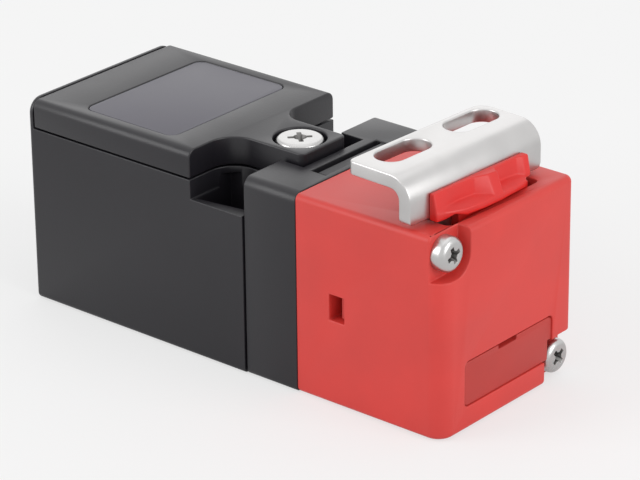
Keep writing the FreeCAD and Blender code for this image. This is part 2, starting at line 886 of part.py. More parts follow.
def make_contact_block_base():
    block_half = cavity_half_width - block_side_play
    pieces = [box(block_rear_x, block_front_x, -block_half, block_half, body_floor, channel_floor)]
    for row_x in terminal_rows():
        for side_sign in (-1, 1):
            inner = side_sign * channel_half_width
            edge = side_sign * block_half
            pieces.append(
                box(
                    row_x - tower_length / 2.0, row_x + tower_length / 2.0, min(inner, edge), max(inner, edge),
                    channel_floor, tower_top,
                )
            )
    wall_half = channel_half_width - contact_leg_thickness - 0.1
    for x0 in (block_rear_x, block_front_x - block_end_wall):
        pieces.append(box(x0, x0 + block_end_wall, -wall_half, wall_half, channel_floor, tower_top - 1.0))
    block = fuse(*pieces)
    bore = rod_x(
        plunger_radius + plunger_play, block_front_x - block_end_wall - 1, block_front_x + 1, 0, cam_axis_height
    )
    passage = box(
        block_front_x - block_end_wall - 1, block_front_x + 1, -slider_half_width - slider_play,
        slider_half_width + slider_play, channel_floor, tower_top - 1.0,
    )
    rear_passage = box(
        block_rear_x - 1, block_rear_x + block_end_wall + 1, -slider_half_width - slider_play,
        slider_half_width + slider_play, channel_floor + 2.0, tower_top - 1.0,
    )
    footprint = rectangle(block_rear_x, block_front_x, -block_half, block_half, cavity_corner_radius)
    block = cut(block, bore, passage, rear_passage).common(prism("z", body_floor, tower_top, footprint))
    for row_x in terminal_rows():
        for side_sign in (-1, 1):
            y = side_sign * (channel_half_width + block_half) / 2.0
            hole = rod_z(terminal_screw_shank_radius, tower_top - terminal_screw_length, tower_top + 1, row_x, y)
            block = block.cut(hole)
    return block


def make_contact_block_cap():
    half = channel_half_width - contact_leg_thickness - 0.1
    z0 = tower_top - 1.0
    cap = box(block_rear_x, block_front_x, -half, half, z0, z0 + cap_thickness)
    edges = [edge for edge in cap.Edges if abs(edge.CenterOfMass.z - z0 - cap_thickness) < 1e-6]
    return cap.makeChamfer(0.4, edges)


def make_contact_slider():
    z0 = channel_floor + slider_play
    z1 = tower_top - 1.0 - slider_play
    slider = box(slider_rear_x, slider_front_x, -slider_half_width, slider_half_width, z0, z1)
    for x0 in bridge_places():
        window = box(
            x0 - bridge_thickness, x0, -slider_half_width - 1, slider_half_width + 1,
            cam_axis_height - bridge_height / 2.0, cam_axis_height + bridge_height / 2.0,
        )
        slider = slider.cut(window)
    return slider


def make_contact_bridge(x1, facing):
    """Flat bridge through the slider with a contact button on each end."""
    half_height = bridge_height / 2.0
    strip = box(
        x1 - bridge_thickness, x1, -bridge_half_width, bridge_half_width,
        cam_axis_height - half_height, cam_axis_height + half_height,
    )
    button_face = x1 if facing > 0 else x1 - bridge_thickness
    buttons = []
    for side_sign in (-1, 1):
        y = side_sign * (contact_inner + 1.2)
        start = min(button_face, button_face + facing * contact_thickness)
        buttons.append(rod_x(0.9, start, start + contact_thickness, y, cam_axis_height))
    return fuse(strip, *buttons)


def make_fixed_contact(row_x, face_x, facing, side_sign):
    """Strip from the contact finger up the tower and across its top under the terminal screw."""
    block_half = cavity_half_width - block_side_play
    back_x = face_x - facing * contact_thickness
    x0 = min(face_x, back_x)
    x1 = max(face_x, back_x)
    outer = channel_half_width
    inner = channel_half_width - contact_leg_thickness
    half_finger = contact_finger_height / 2.0
    y_a = side_sign * contact_inner
    y_b = side_sign * outer
    finger = box(
        x0, x1, min(y_a, y_b), max(y_a, y_b), cam_axis_height - half_finger, cam_axis_height + half_finger
    )
    y_c = side_sign * inner
    leg_x0 = min(x0, row_x - 1.5)
    leg_x1 = max(x1, row_x + 1.5)
    leg = box(
        leg_x0, leg_x1, min(y_b, y_c), max(y_b, y_c), cam_axis_height - half_finger,
        tower_top + terminal_plate_thickness,
    )
    y_d = side_sign * (block_half - 0.3)
    plate = box(
        row_x - tower_length / 2.0 + 0.2, row_x + tower_length / 2.0 - 0.2, min(y_c, y_d), max(y_c, y_d),
        tower_top, tower_top + terminal_plate_thickness,
    )
    contact = fuse(finger, leg, plate)
    y = side_sign * (channel_half_width + block_half) / 2.0
    return contact.cut(rod_z(terminal_screw_shank_radius, tower_top - 1, tower_top + 2, row_x, y))


def make_terminal_screw(row_x, side_sign):
    block_half = cavity_half_width - block_side_play
    screw = pan_screw(
        terminal_screw_head_radius, terminal_screw_head_height, terminal_screw_shank_radius,
        terminal_screw_length + terminal_plate_thickness - 0.3,
    )
    y = side_sign * (channel_half_width + block_half) / 2.0
    screw.translate(V(row_x, y, tower_top + terminal_plate_thickness))
    return screw


# ---------------------------------------------------------------- build
os.makedirs("parts", exist_ok=True)

save("body_housing", make_body_housing())
save("cover_gasket", make_cover_gasket())
save("cover", make_cover())
save("label_plate", make_label_plate())
save("cover_screw", make_cover_screw())
save("head_collar", make_head_collar())
save("head_housing", make_head_housing())
save("cam_carrier", make_cam_carrier())
save("cam_axle", make_cam_axle())
save("cam_rotor", make_cam_rotor())
save("plunger", make_plunger())
save("plunger_spring", make_plunger_spring())
save("plunger_seal", make_plunger_seal())
for name, (screw_y, screw_z) in zip(("upper", "lower"), head_screw_places()):
    save("head_screw_" + name, make_head_screw(screw_y, screw_z))
save("slot_plug", make_slot_plug())
save("actuator_bracket", make_actuator_bracket())
save("guide_block", make_guide_block())
save("contact_block_base", make_contact_block_base())
save("contact_block_cap", make_contact_block_cap())
save("contact_slider", make_contact_slider())

closed_x, open_x = bridge_places()
front_row, rear_row = terminal_rows()
save("contact_bridge_opening", make_contact_bridge(closed_x, 1))
save("contact_bridge_closing", make_contact_bridge(open_x, -1))
opening_face = closed_x + contact_thickness + contact_gap
closing_face = open_x - bridge_thickness - contact_thickness - plunger_travel - contact_gap
for side_name, side in (("near", -1), ("far", 1)):
    save("fixed_contact_opening_" + side_name, make_fixed_contact(front_row, opening_face, -1, side))
    save("fixed_contact_closing_" + side_name, make_fixed_contact(rear_row, closing_face, 1, side))
    save("terminal_screw_front_" + side_name, make_terminal_screw(front_row, side))
    save("terminal_screw_rear_" + side_name, make_terminal_screw(rear_row, side))
print("built", len(os.listdir("parts")), "sub-parts, length", device_length)
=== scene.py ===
"""Looks of a tongue interlock switch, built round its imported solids. Metres."""
import math

import bmesh
import bpy
from mathutils import Matrix, Vector


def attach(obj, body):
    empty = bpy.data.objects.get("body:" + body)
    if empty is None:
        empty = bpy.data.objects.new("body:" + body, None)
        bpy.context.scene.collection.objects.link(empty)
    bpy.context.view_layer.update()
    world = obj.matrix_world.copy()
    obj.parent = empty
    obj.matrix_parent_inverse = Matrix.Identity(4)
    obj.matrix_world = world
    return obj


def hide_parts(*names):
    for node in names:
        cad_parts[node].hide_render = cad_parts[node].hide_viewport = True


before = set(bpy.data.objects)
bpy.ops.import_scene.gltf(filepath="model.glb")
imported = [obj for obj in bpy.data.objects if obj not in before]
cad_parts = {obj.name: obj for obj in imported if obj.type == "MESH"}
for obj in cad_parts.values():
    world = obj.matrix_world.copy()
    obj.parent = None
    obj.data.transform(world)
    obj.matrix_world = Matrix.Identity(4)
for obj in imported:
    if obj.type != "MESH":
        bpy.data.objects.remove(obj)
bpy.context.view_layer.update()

bpy.ops.object.select_all(action="DESELECT")


# ---------------------------------------------------------------- camera
# A long lens looks down on the switch from the front left corner of its red head. It stands about
# half a metre away.
camera_turn = math.radians(40.397)
camera_tilt = math.radians(90.0 - 24.02)
camera_roll = math.radians(-0.64)
camera_data = bpy.data.cameras.new("camera")
camera_data.sensor_width = 36.0
camera_data.lens = 187.8
camera_data.clip_start = 0.01
camera = bpy.data.objects.new("camera", camera_data)
bpy.context.scene.collection.objects.link(camera)
camera.matrix_world = (
    Matrix.Translation((0.28474, -0.32944, 0.20855))
    @ Matrix.Rotation(camera_turn, 4, "Z")
    @ Matrix.Rotation(camera_tilt, 4, "X")
    @ Matrix.Rotation(camera_roll, 4, "Z")
)
bpy.context.scene.camera = camera


# ---------------------------------------------------------------- studio
# A light tent: a pale floor, a white sky and four soft lamps. The floor shows white and keeps the
# soft shadow under the switch. The far lamp lies in the sheen of the top faces.
def maths(tree, operation, first, second):
    """A Math node on two outputs, or on an output and a number."""
    node = tree.nodes.new("ShaderNodeMath")
    node.operation = operation
    tree.links.new(first, node.inputs[0])
    if isinstance(second, float):
        node.inputs[1].default_value = second
    else:
        tree.links.new(second, node.inputs[1])
    return node.outputs[0]


def shine(tree, kind, colour, strength=None):
    """A plain shader of one colour and, where it gives off light, of one strength."""
    node = tree.nodes.new(kind)
    node.inputs["Color"].default_value = (*colour, 1.0)
    if strength is not None:
        node.inputs["Strength"].default_value = strength
    return node.outputs[0]


def show(tree, end, share, first, second):
    """Mixes two shaders into the tree's end node."""
    mix = tree.nodes.new("ShaderNodeMixShader")
    tree.links.new(share, mix.inputs[0])
    tree.links.new(first, mix.inputs[1])
    tree.links.new(second, mix.inputs[2])
    tree.links.new(mix.outputs[0], tree.nodes.new(end).inputs["Surface"])


white = (1.0, 1.0, 1.0)
paper_colour = (0.86, 0.86, 0.86)
tent_strength = 0.54
paper_own_light = 0.62
paper_in_gloss = 0.45

bpy.context.scene.view_settings.view_transform = "Standard"
world = bpy.data.worlds.new("light_tent")
bpy.context.scene.world = world
world.use_nodes = True
tent = world.node_tree
tent.nodes.clear()
tent_ray = tent.nodes.new("ShaderNodeLightPath")
tent_seen = maths(tent, "MAXIMUM", tent_ray.outputs["Is Camera Ray"], tent_ray.outputs["Is Glossy Ray"])
tent_seen = maths(tent, "MAXIMUM", tent_seen, tent_ray.outputs["Is Transmission Ray"])
show(
    tent, "ShaderNodeOutputWorld", tent_seen,
    shine(tent, "ShaderNodeBackground", white, tent_strength),
    shine(tent, "ShaderNodeBackground", white, 1.0),
)

bpy.ops.mesh.primitive_plane_add(size=1.6, location=(0.0, 0.0, -0.0001))
bpy.ops.object.transform_apply(location=True, rotation=True, scale=True)
floor = bpy.context.active_object
floor.name = "floor"
floor_paper = bpy.data.materials.new("floor_paper")
floor_paper.use_nodes = True
paper = floor_paper.node_tree
paper.nodes.clear()
paper_ray = paper.nodes.new("ShaderNodeLightPath")
paper_gloss = maths(paper, "MULTIPLY", paper_ray.outputs["Is Glossy Ray"], paper_in_gloss)
paper_seen = maths(paper, "MAXIMUM", paper_ray.outputs["Is Camera Ray"], paper_gloss)
show(
    paper, "ShaderNodeOutputMaterial", maths(paper, "MULTIPLY", paper_seen, paper_own_light),
    shine(paper, "ShaderNodeBsdfDiffuse", paper_colour),
    shine(paper, "ShaderNodeEmission", white, 1.0),
)
floor.data.materials.append(floor_paper)

switch_middle = Vector((0.0, 0.0, 0.015))
for lamp_name, lamp_place, lamp_size, lamp_power in (
    ("lamp_overhead", (-0.10, 0.10, 0.90), 0.90, 1.0),
    ("lamp_left", (-0.55, -0.75, 0.45), 0.60, 3.5),
    ("lamp_right", (0.85, 0.05, 0.40), 0.60, 3.1),
    ("lamp_far", (-0.80, 0.95, 0.62), 1.00, 1.5),
):
    lamp_data = bpy.data.lights.new(lamp_name, "AREA")
    lamp_data.shape = "SQUARE"
    lamp_data.size = lamp_size
    lamp_data.energy = lamp_power
    lamp = bpy.data.objects.new(lamp_name, lamp_data)
    bpy.context.scene.collection.objects.link(lamp)
    lamp.location = lamp_place
    lamp.rotation_euler = (switch_middle - Vector(lamp_place)).to_track_quat("-Z", "Y").to_euler()
bpy.ops.object.select_all(action="DESELECT")


# ---------------------------------------------------------------- body housing
# The lower body is one moulding in black glass-filled nylon with a fine spark-eroded grain. It has
# a low rim at the rear, a round cable entry below it and two open pockets over the fixing holes.
def block(name, x0, x1, y0, y1, z0, z1):
    """A cube at its size and place. The sizes of all pieces are in millimetres."""
    bpy.ops.object.select_all(action="DESELECT")
    bpy.ops.mesh.primitive_cube_add(
        size=1.0,
        location=((x0 + x1) * 0.0005, (y0 + y1) * 0.0005, (z0 + z1) * 0.0005),
        scale=((x1 - x0) * 0.001, (y1 - y0) * 0.001, (z1 - z0) * 0.001),
    )
    bpy.ops.object.transform_apply(location=True, rotation=True, scale=True)
    piece = bpy.context.active_object
    piece.name = name
    return piece


def bar(name, radius, start, end, axis, u, v, sides, end_radius=None):
    """A round bar along x or z; u and v are its place on the other two axes, in order."""
    middle = (start + end) / 2.0
    places = {"x": (middle, u, v), "z": (u, v, middle)}
    turns = {"x": (0.0, math.radians(90.0), 0.0), "z": (0.0, 0.0, 0.0)}
    bpy.ops.object.select_all(action="DESELECT")
    bpy.ops.mesh.primitive_cone_add(
        vertices=sides,
        radius1=radius * 0.001,
        radius2=(radius if end_radius is None else end_radius) * 0.001,
        depth=(end - start) * 0.001,
        location=[value * 0.001 for value in places[axis]],
        rotation=turns[axis],
    )
    bpy.ops.object.transform_apply(location=True, rotation=True, scale=True)
    piece = bpy.context.active_object
    piece.name = name
    return piece


def hold(piece):
    """Selects one piece and makes it the active one."""
    bpy.ops.object.select_all(action="DESELECT")
    piece.select_set(True)
    bpy.context.view_layer.objects.active = piece


def pick(piece, kind, chosen):
    """Opens a piece in edit mode with only those corners, edges or faces selected that pass."""
    hold(piece)
    bpy.ops.object.mode_set(mode="EDIT")
    bpy.ops.mesh.select_mode(type=kind)
    bpy.ops.mesh.select_all(action="DESELECT")
    mesh = bmesh.from_edit_mesh(piece.data)
    for element in {"VERT": mesh.verts, "EDGE": mesh.edges, "FACE": mesh.faces}[kind]:
        if chosen(element):
            element.select_set(True)
    bmesh.update_edit_mesh(piece.data)


def edge_middle(edge):
    """The middle of an edge, in millimetres."""
    return (edge.verts[0].co + edge.verts[1].co) * 500.0


def round_edges(piece, radius, steps, run, where=lambda middle: True):
    """Bevels the edges that run along x, y or z, level or any way, where their middle passes."""
    def chosen(edge):
        along = (edge.verts[1].co - edge.verts[0].co).normalized()
        runs = {
            "x": abs(along.x) > 0.9, "y": abs(along.y) > 0.9, "z": abs(along.z) > 0.9,
            "level": abs(along.z) < 0.1, "any": True,
        }
        return runs[run] and where(edge_middle(edge))

    pick(piece, "EDGE", chosen)
    bpy.ops.mesh.bevel(offset=radius * 0.001, segments=steps, affect="EDGES")
    bpy.ops.object.mode_set(mode="OBJECT")


def work(piece, operation, *tools):
    """Cuts the tools out of a piece, or joins them to it, and takes them away."""
    for tool in tools:
        step = piece.modifiers.new("step", "BOOLEAN")
        step.operation = operation
        step.solver = "EXACT"
        step.object = tool
        hold(piece)
        bpy.ops.object.modifier_apply(modifier=step.name)
        bpy.data.objects.remove(tool, do_unlink=True)


def clean_faces(piece):
    """Joins the flat faces that a cut or a joint has split."""
    hold(piece)
    bpy.ops.object.mode_set(mode="EDIT")
    bpy.ops.mesh.select_all(action="SELECT")
    bpy.ops.mesh.remove_doubles(threshold=0.000003)
    bpy.ops.mesh.dissolve_limited(angle_limit=math.radians(0.4))
    bpy.ops.mesh.normals_make_consistent(inside=False)
    bpy.ops.object.mode_set(mode="OBJECT")


def break_edges(piece, width, angle=35.0):
    """Clean faces, a small radius on every sharp edge, and smooth shading between them."""
    clean_faces(piece)
    soft = piece.modifiers.new("soft_edges", "BEVEL")
    soft.width = width * 0.001
    soft.segments = 3
    soft.limit_method = "ANGLE"
    soft.angle_limit = math.radians(angle)
    soft.use_clamp_overlap = False
    bpy.ops.object.modifier_apply(modifier=soft.name)
    bpy.ops.object.shade_smooth_by_angle(angle=math.radians(32.0))


def noise(tree, place, scale, detail):
    """A noise on the piece's own coordinates."""
    node = tree.nodes.new("ShaderNodeTexNoise")
    node.inputs["Scale"].default_value = scale
    node.inputs["Detail"].default_value = detail
    tree.links.new(place.outputs["Object"], node.inputs["Vector"])
    return node.outputs["Fac"]


def clouded(tree, cloud, colour, dark, light):
    """A colour that wanders between a darker and a lighter shade of itself."""
    node = tree.nodes.new("ShaderNodeMix")
    node.data_type = "RGBA"
    node.inputs["A"].default_value = (*[dark * part for part in colour], 1.0)
    node.inputs["B"].default_value = (*[min(1.0, light * part) for part in colour], 1.0)
    tree.links.new(cloud, node.inputs["Factor"])
    return node.outputs["Result"]


def uneven_gloss(tree, cloud, shader, lowest, highest):
    """Roughness that wanders with the clouds of the colour."""
    node = tree.nodes.new("ShaderNodeMapRange")
    node.inputs["To Min"].default_value = lowest
    node.inputs["To Max"].default_value = highest
    tree.links.new(cloud, node.inputs["Value"])
    tree.links.new(node.outputs["Result"], shader.inputs["Roughness"])


def fine_relief(tree, height, shader, depth):
    """A bump of the given depth."""
    node = tree.nodes.new("ShaderNodeBump")
    node.inputs["Strength"].default_value = 0.5
    node.inputs["Distance"].default_value = depth
    tree.links.new(height, node.inputs["Height"])
    tree.links.new(node.outputs["Normal"], shader.inputs["Normal"])


def moulded_plastic(name, colour, worn_colour, roughness, specular=0.5, grain=0.00028, depth=0.00002):
    """Fine grained thermoplastic: cloudy colour, uneven gloss, a grain bump and paler worn edges."""
    material = bpy.data.materials.new(name)
    material.use_nodes = True
    tree = material.node_tree
    shader = tree.nodes["Principled BSDF"]
    shader.inputs["Specular IOR Level"].default_value = specular
    place = tree.nodes.new("ShaderNodeTexCoord")
    cloud = noise(tree, place, 90.0, 5.0)
    shade = clouded(tree, cloud, colour, 0.86, 1.14)
    round_off = tree.nodes.new("ShaderNodeBevel")
    round_off.samples = 4
    round_off.inputs["Radius"].default_value = 0.00035
    facing = tree.nodes.new("ShaderNodeNewGeometry")
    turn = tree.nodes.new("ShaderNodeVectorMath")
    turn.operation = "DOT_PRODUCT"
    tree.links.new(round_off.outputs["Normal"], turn.inputs[0])
    tree.links.new(facing.outputs["Normal"], turn.inputs[1])
    edge = tree.nodes.new("ShaderNodeMapRange")
    edge.inputs["From Min"].default_value = 0.995
    edge.inputs["From Max"].default_value = 0.80
    tree.links.new(turn.outputs["Value"], edge.inputs["Value"])
    worn = tree.nodes.new("ShaderNodeMix")
    worn.data_type = "RGBA"
    worn.inputs["B"].default_value = (*worn_colour, 1.0)
    wear = maths(tree, "MULTIPLY", edge.outputs["Result"], noise(tree, place, 420.0, 3.0))
    tree.links.new(wear, worn.inputs["Factor"])
    tree.links.new(shade, worn.inputs["A"])
    tree.links.new(worn.outputs["Result"], shader.inputs["Base Color"])
    uneven_gloss(tree, cloud, shader, roughness - 0.07, roughness + 0.07)
    fine_relief(tree, noise(tree, place, 1.0 / grain, 2.0), shader, depth)
    return material


def dress(piece, body, node, material=None):
    """Gives a new piece its finish, its body and the solid that it stands for."""
    if material is not None:
        piece.data.materials.append(material)
    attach(piece, body)
    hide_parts(node)


def span(first, second):
    """Two places in rising order."""
    return min(first, second), max(first, second)


def pocket(rear, y_inner, y_outer, z0, z1, corner):
    """A tool for an open pocket over a fixing hole, with its inner rear corner rounded."""
    tool = block("pocket", rear, 12.0, *span(y_inner, y_outer), z0, z1)
    round_edges(
        tool, corner, 12, "z",
        lambda middle: middle.x < rear + 0.1 and abs(middle.y - y_inner) < 0.1,
    )
    return tool


black_plastic = moulded_plastic("black_nylon", (0.0125, 0.0115, 0.0150), (0.045, 0.044, 0.048), 0.37)
lid_screw_x, lid_screw_y = 2.2, -1.5
cable_axis_z = 13.5
plunger_axis_z = 15.0
pocket_floor, well_floor, above_body = 24.1, 19.5, 33.0
fixing_hole_x, fixing_hole_y = -1.5, 10.0
well_side, well_lean = 14.1, 1.6

body = block("body_shell", -38.0, 3.0, -15.0, 15.0, 0.0, 31.5)
round_edges(body, 0.7, 4, "x", lambda middle: middle.z < 1.0)
round_edges(body, 2.3, 10, "x", lambda middle: middle.z > 20.0)
round_edges(body, 0.6, 4, "any", lambda middle: middle.x < -37.9)
work(body, "DIFFERENCE", block("above", -37.1, 4.0, -16.0, 16.0, 27.0, above_body))
work(body, "UNION", block("lid_boss", 2.0, 6.8, -6.1, 3.1, 21.0, 27.0))
room = block("room", -35.5, -8.9, -12.5, 12.5, 2.5, 28.0)
round_edges(room, 2.0, 6, "z")
work(room, "DIFFERENCE", bar("entry_boss", 12.0, -39.0, -29.0, "x", 0.0, cable_axis_z, 96))
work(body, "DIFFERENCE", room)
work(body, "DIFFERENCE", bar("entry", 9.3, -39.0, -28.0, "x", 0.0, cable_axis_z, 96))
work(body, "DIFFERENCE", bar("plunger_way", 2.5, -10.0, 4.0, "x", 0.0, plunger_axis_z, 48))
work(body, "DIFFERENCE", bar("seal_seat", 4.0, 1.6, 4.0, "x", 0.0, plunger_axis_z, 48))
work(body, "DIFFERENCE", bar("screw_way", 1.65, 21.4, 28.0, "z", lid_screw_x, lid_screw_y, 32))
groove = block("groove", -36.75, -7.15, -14.05, 14.05, 26.0, 28.0)
round_edges(groove, 2.0, 6, "z")
work(groove, "DIFFERENCE", block("groove_core", -35.65, -8.25, -12.95, 12.95, 25.0, 29.0))
work(body, "DIFFERENCE", groove)
for side, rear, y_inner, corner in ((-1.0, -6.6, -6.3, 4.0), (1.0, -5.5, 3.3, 3.3)):
    work(body, "DIFFERENCE", pocket(rear, y_inner, 16.0 * side, pocket_floor, above_body, corner))
    well = block(
        "well", rear + 0.3, 4.0, *span(well_side * side, y_inner + 0.4 * side), well_floor, 26.0,
    )
    pick(well, "EDGE", lambda edge: edge_middle(edge).x > 3.9 and edge_middle(edge).y * side > 14.0)
    bpy.ops.transform.translate(value=(0.0, -0.001 * well_lean * side, 0.0))
    bpy.ops.object.mode_set(mode="OBJECT")
    work(body, "DIFFERENCE", well)
    hole = bar("fixing_hole", 2.15, -1.0, 26.0, "z", fixing_hole_x, fixing_hole_y * side, 48)
    work(body, "DIFFERENCE", hole)
break_edges(body, 0.12)
dress(body, "switch", "body_housing", black_plastic)


# ---------------------------------------------------------------- lid gasket
# A soft black rubber frame lies in a groove of the body, and the lid presses it flat.
# It keeps the shape of its solid.
def finish_node(name, material):
    """A solid that keeps its own shape and gets its finish."""
    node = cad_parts[name]
    node.data.materials.clear()
    node.data.materials.append(material)


seal_rubber = moulded_plastic("seal_rubber", (0.012, 0.012, 0.012), (0.02, 0.02, 0.02), 0.70, 0.3)
finish_node("cover_gasket", seal_rubber)


# ---------------------------------------------------------------- lid
# The lid is the same black nylon. It drops in behind the rear rim, and its front tongue, set to
# one side, is held down by a single screw in a counterbore.
lid = block("lid_shell", -36.9, 6.8, -15.0, 15.0, 27.25, 31.45)
round_edges(lid, 1.3, 8, "x", lambda middle: middle.z > 30.0)
for rear, y_inner, y_outer, corner in ((-6.6, -6.3, -16.0, 4.0), (-5.5, 3.2, 16.0, 3.3)):
    work(lid, "DIFFERENCE", pocket(rear, y_inner, y_outer, 26.0, 33.0, corner))
round_edges(lid, 0.9, 6, "z", lambda middle: middle.x > 6.7)
recess = block("label_recess", -29.1, -11.9, -12.5, 12.3, 31.05, 33.0)
round_edges(recess, 1.6, 8, "z")
work(lid, "DIFFERENCE", recess)
work(lid, "DIFFERENCE", bar("counterbore", 3.85, 29.2, 33.0, "z", lid_screw_x, lid_screw_y, 72))
work(lid, "DIFFERENCE", bar("clearance", 1.75, 27.0, 30.0, "z", lid_screw_x, lid_screw_y, 32))
break_edges(lid, 0.22)
dress(lid, "switch", "cover", black_plastic)


# ---------------------------------------------------------------- blank label
# A plain grey-violet film fills the recess of the lid. It is smoother than the nylon round it,
# and it carries no print.
label_film = moulded_plastic(
    "label_film", (0.100, 0.096, 0.118), (0.11, 0.11, 0.13), 0.42, 0.35, grain=0.0002, depth=0.000006,
)
label = block("label", -29.0, -12.0, -12.4, 12.2, 31.05, 31.36)
round_edges(label, 1.5, 8, "z")
break_edges(label, 0.06)
dress(label, "switch", "label_plate", label_film)


# ---------------------------------------------------------------- lid screw
# A zinc-plated steel pan-head screw with a cross recess, sunk until its head is flush with the lid.
# Its recess is dull, and its faces are painted a darker steel as painted shade.
def plated_steel(name, colour, roughness, scale=260.0):
    """Bright plated or polished steel: faint clouds in its colour and gloss, and a fine bump."""
    material = bpy.data.materials.new(name)
    material.use_nodes = True
    tree = material.node_tree
    shader = tree.nodes["Principled BSDF"]
    shader.inputs["Metallic"].default_value = 1.0
    place = tree.nodes.new("ShaderNodeTexCoord")
    cloud = noise(tree, place, scale, 5.0)
    tree.links.new(clouded(tree, cloud, colour, 0.86, 1.08), shader.inputs["Base Color"])
    uneven_gloss(tree, cloud, shader, roughness - 0.08, roughness + 0.12)
    fine_relief(tree, noise(tree, place, 2400.0, 2.0), shader, 0.000012)
    return material


screw_steel = plated_steel("screw_steel", (0.56, 0.555, 0.55), 0.27)
# The second steel is darker: painted shade for the cross recesses, not a different plating.
recess_painted_shade = plated_steel("recess_painted_shade", (0.22, 0.215, 0.21), 0.45)


def pan_screw(name, head_radius, head_height, dome, shank_radius, shank_length):
    """A pan-head screw standing on the origin, with a tapered cross recess."""
    screw = bar(name, head_radius, 0.0, head_height, "z", 0.0, 0.0, 64)
    round_edges(screw, dome, 8, "level", lambda middle: middle.z > head_height - 0.01)
    work(screw, "UNION", bar("shank", shank_radius, -shank_length, 0.1, "z", 0.0, 0.0, 32))
    reach = 0.58 * head_radius
    half_wing = 0.36
    above = head_height + 0.3
    bit = bar(
        "bit", 0.18 * head_radius, head_height - 1.5, above, "z", 0.0, 0.0, 24, 0.30 * head_radius,
    )
    for turn in (0.0, 90.0):
        wing = block("wing", -reach, reach, -half_wing, half_wing, head_height - 1.1, above)
        pick(wing, "FACE", lambda face: face.normal.z < -0.9)
        bpy.ops.transform.resize(value=(0.45, 0.6, 1.0), center_override=(0.0, 0.0, 0.0))
        bpy.ops.mesh.select_all(action="SELECT")
        bpy.ops.transform.rotate(
            value=math.radians(turn), orient_axis="Z", center_override=(0.0, 0.0, 0.0),
        )
        bpy.ops.object.mode_set(mode="OBJECT")
        work(bit, "UNION", wing)
    work(screw, "DIFFERENCE", bit)
    break_edges(screw, 0.05, 40.0)
    screw.data.materials.append(screw_steel)
    screw.data.materials.append(recess_painted_shade)
    # Faces inside the cross recess take the darker steel: painted shade in the recess.
    for face in screw.data.polygons:
        middle = face.center * 1000.0
        inside = middle.xy.length < reach + 0.3 and middle.z > 0.3
        if inside and (middle.z < head_height - 0.25 or abs(face.normal.z) < 0.8):
            face.material_index = 1
    return screw


def seat(piece, turn_x, turn_y, turn_z, x, y, z):
    """Turns a piece about the origin and puts it on its seat, with its place in its mesh."""
    piece.rotation_euler = (math.radians(turn_x), math.radians(turn_y), math.radians(turn_z))
    piece.location = (x * 0.001, y * 0.001, z * 0.001)
    hold(piece)
    bpy.ops.object.transform_apply(location=True, rotation=True, scale=True)


lid_screw = pan_screw("lid_screw", 3.45, 2.2, 0.7, 1.6, 7.2)
seat(lid_screw, 0.0, 0.0, 47.0, lid_screw_x, lid_screw_y, 29.3)
dress(lid_screw, "switch", "cover_screw")


# ---------------------------------------------------------------- collar
# A black nylon collar stands between the head and the body. It clears the lid's tongue with a
# trench, keeps a thin strip in front of it, and has a shallow pocket in its top.
head_screw_places = ((-11.95, 26.95), (11.95, 3.05))
screw_way_radius = 1.45

collar = block("collar_shell", 3.25, 12.5, -14.8, 14.8, 0.0, 30.0)
round_edges(collar, 0.7, 4, "x", lambda middle: middle.z < 1.0)
round_edges(collar, 1.6, 8, "x", lambda middle: middle.z > 20.0)
spigot = block("spigot", 3.0, 4.0, -14.3, 14.3, 0.5, 29.5)
round_edges(spigot, 1.3, 6, "x")
work(collar, "UNION", spigot)
work(collar, "DIFFERENCE", block("trench", 2.0, 7.3, -6.9, 6.2, 20.8, 31.0))
work(collar, "DIFFERENCE", block("shallow_pocket", 8.9, 11.6, -7.1, 7.2, 29.0, 31.0))
work(collar, "UNION", block("pocket_panel", 9.7, 11.65, -6.5, 7.25, 28.5, 29.7))
work(collar, "DIFFERENCE", block("chamber", 8.0, 13.0, -9.9, 9.9, 4.5, 25.5))
work(collar, "DIFFERENCE", bar("plunger_way", 2.5, 2.0, 9.0, "x", 0.0, plunger_axis_z, 48))
work(collar, "DIFFERENCE", bar("spring_pocket", 4.2, 4.0, 9.0, "x", 0.0, plunger_axis_z, 48))
for screw_y, screw_z in head_screw_places:
    work(collar, "DIFFERENCE", bar("screw_way", screw_way_radius, 6.4, 13.0, "x", screw_y, screw_z, 32))
break_edges(collar, 0.15)
dress(collar, "switch", "head_collar", black_plastic)


# ---------------------------------------------------------------- red head
# The head is a soft-cornered box in signal-red glass-filled nylon. It has an entry for the tongue
# in its top and one in its end, an open pocket for each of its two screws, and a latch window in
# each side.
red_plastic = moulded_plastic("red_nylon", (0.70, 0.050, 0.041), (0.78, 0.13, 0.11), 0.46)
head_front = 38.0
screw_seat_x = 35.7
screw_room = 6.0

